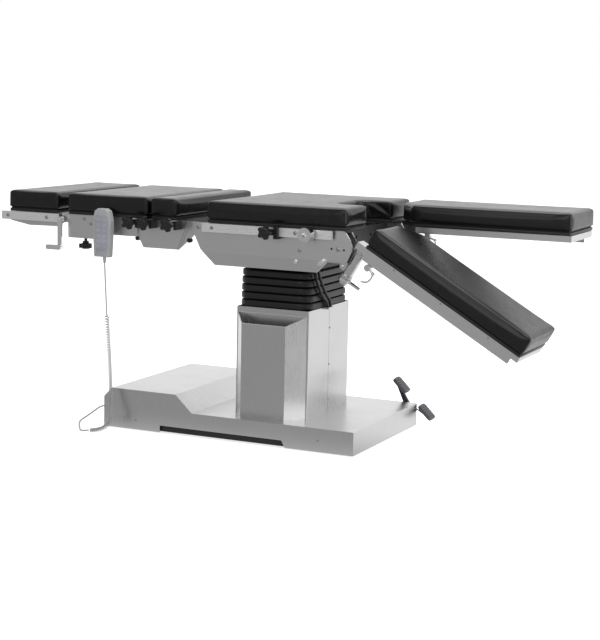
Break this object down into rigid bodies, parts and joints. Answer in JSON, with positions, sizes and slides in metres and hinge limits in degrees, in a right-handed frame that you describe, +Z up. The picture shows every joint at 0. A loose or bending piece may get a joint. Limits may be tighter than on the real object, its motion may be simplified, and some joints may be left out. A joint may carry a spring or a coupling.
{
  "type": "operating table",
  "caption": "Mobile operating table: covered base with foot brake, lifting column with bellows, tilting top of hinged black padded sections, side rails and a corded hand control.",
  "frame": {"origin": "on the floor under the axis of the lifting column", "axes": "+X along the table towards the leg sections, +Z up, the side with the hand control is -Y"},
  "size_m": [1.916, 0.7199, 0.78],
  "materials": {
    "steel_frame": "brushed",
    "steel_rail": "brushed",
    "steel_cover": "fine brushed",
    "cushion": "smooth coated, semi-gloss",
    "bellows_rubber": "satin",
    "black_steel": "satin paint",
    "bright_steel": "turned",
    "chrome": "polished",
    "black_plastic": "satin",
    "black_clamp": "satin paint",
    "pedal_grey": "matt ribbed",
    "handset_grey": "satin",
    "cord_grey": "satin",
    "foot_rubber": "matt",
    "wheel_tyre": "matt"
  },
  "bodies": {
    "base": {"base_chassis": "black_steel", "base_cover": "steel_cover", "base_feet": "foot_rubber", "column_cover_near": "steel_cover", "column_cover_far": "steel_cover", "column_pocket": "steel_cover", "column_outer_mast": "black_steel", "cord_gland": "black_plastic", "handset_curl": "cord_grey", "handset_tail": "cord_grey", "bellows": "bellows_rubber", "hose_upper": "bellows_rubber", "hose_lower": "bellows_rubber"},
    "brake": {"brake_rocker": "black_steel", "brake_pads": "pedal_grey"},
    "carriage": {"castor_carriage": "black_steel"},
    "lift": {"column_inner_mast": "bright_steel"},
    "cross": {"tilt_cross": "black_steel"},
    "seat": {"seat_side_near": "steel_frame", "seat_side_far": "steel_frame", "seat_cross_frame": "black_steel", "seat_pad": "cushion", "seat_rails": "steel_rail"},
    "seat_clamp": {"seat_clamp": "black_clamp"},
    "seat_clamp_knob": {"seat_clamp_knob": "black_plastic"},
    "rail_socket": {"rail_socket": "chrome"},
    "back": {"back_frame": "steel_frame", "back_pad": "cushion", "back_clamps": "black_clamp"},
    "upper_back": {"upper_back_frame": "steel_frame", "upper_back_pad": "cushion", "handset_hook": "chrome"},
    "handset": {"handset": "handset_grey", "handset_lead": "cord_grey"},
    "stem_knob": {"stem_knob": "black_plastic"},
    "head": {"head_frame": "steel_frame", "head_rails": "steel_rail", "head_pad": "cushion"},
    "head_lever": {"head_lever": "chrome"},
    "back_knob_1": {"back_knob_1": "black_plastic"},
    "back_knob_2": {"back_knob_2": "black_plastic"},
    "back_knob_3": {"back_knob_3": "black_plastic"},
    "fork_1": {"castor_fork_1": "bright_steel"},
    "wheel_1": {"castor_wheel_1": "wheel_tyre"},
    "fork_2": {"castor_fork_2": "bright_steel"},
    "wheel_2": {"castor_wheel_2": "wheel_tyre"},
    "fork_3": {"castor_fork_3": "bright_steel"},
    "wheel_3": {"castor_wheel_3": "wheel_tyre"},
    "fork_4": {"castor_fork_4": "bright_steel"},
    "wheel_4": {"castor_wheel_4": "wheel_tyre"},
    "leg_hinge_near": {"leg_hinge_near": "bright_steel"},
    "leg_near": {"leg_frame_near": "steel_frame", "leg_pad_near": "cushion"},
    "leg_lever_near": {"leg_lever_near": "chrome"},
    "leg_hook_near": {"leg_hook_near": "chrome"},
    "leg_hinge_far": {"leg_hinge_far": "bright_steel"},
    "leg_far": {"leg_frame_far": "steel_frame", "leg_pad_far": "cushion"},
    "leg_lever_far": {"leg_lever_far": "chrome"},
    "leg_hook_far": {"leg_hook_far": "chrome"}
  },
  "joints": [
    {"name": "lift_slide", "type": "slide", "parent": "base", "child": "lift", "axis": [0, 0, 1], "range_m": [0, 0.25], "deforming": ["bellows", "hose_upper", "hose_lower", "handset_curl"]},
    {"name": "head_tilt", "type": "hinge", "parent": "lift", "child": "cross", "pos_m": [0, 0, 0.65], "axis": [0, -1, 0], "range_deg": [-20, 20]},
    {"name": "side_tilt", "type": "hinge", "parent": "cross", "child": "seat", "pos_m": [0, 0, 0.65], "axis": [1, 0, 0], "range_deg": [-15, 15]},
    {"name": "back_raise", "type": "hinge", "parent": "seat", "child": "back", "pos_m": [-0.225, 0, 0.692], "axis": [0, 1, 0], "range_deg": [-15, 65]},
    {"name": "upper_back_slide", "type": "slide", "parent": "back", "child": "upper_back", "axis": [-1, 0, 0], "range_m": [0, 0.08]},
    {"name": "head_raise", "type": "hinge", "parent": "upper_back", "child": "head", "pos_m": [-0.741, 0, 0.692], "axis": [0, 1, 0], "range_deg": [-45, 20]},
    {"name": "head_lever_turn", "type": "hinge", "parent": "head", "child": "head_lever", "pos_m": [-0.741, -0.282, 0.692], "axis": [0, 1, 0], "range_deg": [0, 25], "stiffness_Nm_per_rad": 1.5, "springref_deg": -17.19},
    {"name": "handset_lift", "type": "slide", "parent": "upper_back", "child": "handset", "axis": [0, 0, 1], "range_m": [0, 0.12], "deforming": ["handset_lead"]},
    {"name": "stem_knob_turn", "type": "hinge", "parent": "upper_back", "child": "stem_knob", "pos_m": [-0.668, -0.236, 0.62], "axis": [0, 0, 1], "continuous": true},
    {"name": "back_knob_turn_1", "type": "hinge", "parent": "back", "child": "back_knob_1", "pos_m": [-0.4525, -0.32, 0.6985], "axis": [0, 1, 0], "continuous": true},
    {"name": "back_knob_turn_2", "type": "hinge", "parent": "back", "child": "back_knob_2", "pos_m": [-0.3995, -0.32, 0.6985], "axis": [0, 1, 0], "continuous": true},
    {"name": "back_knob_turn_3", "type": "hinge", "parent": "back", "child": "back_knob_3", "pos_m": [-0.308, -0.32, 0.6985], "axis": [0, 1, 0], "continuous": true},
    {"name": "seat_clamp_slide", "type": "slide", "parent": "seat", "child": "seat_clamp", "axis": [1, 0, 0], "range_m": [-0.15, 0.06]},
    {"name": "seat_clamp_knob_turn", "type": "hinge", "parent": "seat_clamp", "child": "seat_clamp_knob", "pos_m": [0.044, -0.32, 0.6945], "axis": [0, 1, 0], "continuous": true},
    {"name": "rail_socket_slide", "type": "slide", "parent": "seat", "child": "rail_socket", "axis": [1, 0, 0], "range_m": [-0.015, 0.05]},
    {"name": "leg_fold_near", "type": "hinge", "parent": "seat", "child": "leg_hinge_near", "pos_m": [0.27, -0.23, 0.65], "axis": [0, 1, 0], "range_deg": [-40.5, 44.5]},
    {"name": "leg_spread_near", "type": "hinge", "parent": "leg_hinge_near", "child": "leg_near", "pos_m": [0.3217, -0.23, 0.61955], "axis": [-0.5075, 0, -0.8616], "range_deg": [0, 45]},
    {"name": "leg_lever_turn_near", "type": "hinge", "parent": "leg_near", "child": "leg_lever_near", "pos_m": [0.28414, -0.23, 0.55579], "axis": [0.5075, 0, 0.8616], "range_deg": [0, 90]},
    {"name": "leg_hook_turn_near", "type": "hinge", "parent": "leg_near", "child": "leg_hook_near", "pos_m": [0.36706, -0.244, 0.59805], "axis": [0, 1, 0], "range_deg": [-20, 0], "stiffness_Nm_per_rad": 0.6, "springref_deg": 14.32},
    {"name": "leg_fold_far", "type": "hinge", "parent": "seat", "child": "leg_hinge_far", "pos_m": [0.27, 0.23, 0.65], "axis": [0, 1, 0], "range_deg": [-10, 75]},
    {"name": "leg_spread_far", "type": "hinge", "parent": "leg_hinge_far", "child": "leg_far", "pos_m": [0.33, 0.23, 0.65], "axis": [0, 0, 1], "range_deg": [0, 45]},
    {"name": "leg_lever_turn_far", "type": "hinge", "parent": "leg_far", "child": "leg_lever_far", "pos_m": [0.33, 0.23, 0.576], "axis": [0, 0, -1], "range_deg": [0, 90]},
    {"name": "leg_hook_turn_far", "type": "hinge", "parent": "leg_far", "child": "leg_hook_far", "pos_m": [0.38, 0.244, 0.6545], "axis": [0, 1, 0], "range_deg": [-20, 0], "stiffness_Nm_per_rad": 0.6, "springref_deg": 14.32},
    {"name": "brake_rock", "type": "hinge", "parent": "base", "child": "brake", "pos_m": [0.308, 0.303, 0.06], "axis": [0, 1, 0], "range_deg": [-24, 0]},
    {"name": "castor_drop", "type": "slide", "parent": "base", "child": "carriage", "axis": [0, 0, -1], "range_m": [0, 0.005]},
    {"name": "castor_swivel_1", "type": "hinge", "parent": "carriage", "child": "fork_1", "pos_m": [-0.49, -0.19, 0.06], "axis": [0, 0, 1], "continuous": true},
    {"name": "castor_roll_1", "type": "hinge", "parent": "fork_1", "child": "wheel_1", "pos_m": [-0.506, -0.19, 0.028], "axis": [0, 1, 0], "continuous": true},
    {"name": "castor_swivel_2", "type": "hinge", "parent": "carriage", "child": "fork_2", "pos_m": [-0.49, 0.19, 0.06], "axis": [0, 0, 1], "continuous": true},
    {"name": "castor_roll_2", "type": "hinge", "parent": "fork_2", "child": "wheel_2", "pos_m": [-0.506, 0.19, 0.028], "axis": [0, 1, 0], "continuous": true},
    {"name": "castor_swivel_3", "type": "hinge", "parent": "carriage", "child": "fork_3", "pos_m": [0.235, -0.19, 0.06], "axis": [0, 0, 1], "continuous": true},
    {"name": "castor_roll_3", "type": "hinge", "parent": "fork_3", "child": "wheel_3", "pos_m": [0.219, -0.19, 0.028], "axis": [0, 1, 0], "continuous": true},
    {"name": "castor_swivel_4", "type": "hinge", "parent": "carriage", "child": "fork_4", "pos_m": [0.235, 0.19, 0.06], "axis": [0, 0, 1], "continuous": true},
    {"name": "castor_roll_4", "type": "hinge", "parent": "fork_4", "child": "wheel_4", "pos_m": [0.219, 0.19, 0.028], "axis": [0, 1, 0], "continuous": true}
  ],
  "couplings": [
    {"joint": "brake_rock", "follows": "castor_drop", "rad_per_m": -83.7}
  ]
}
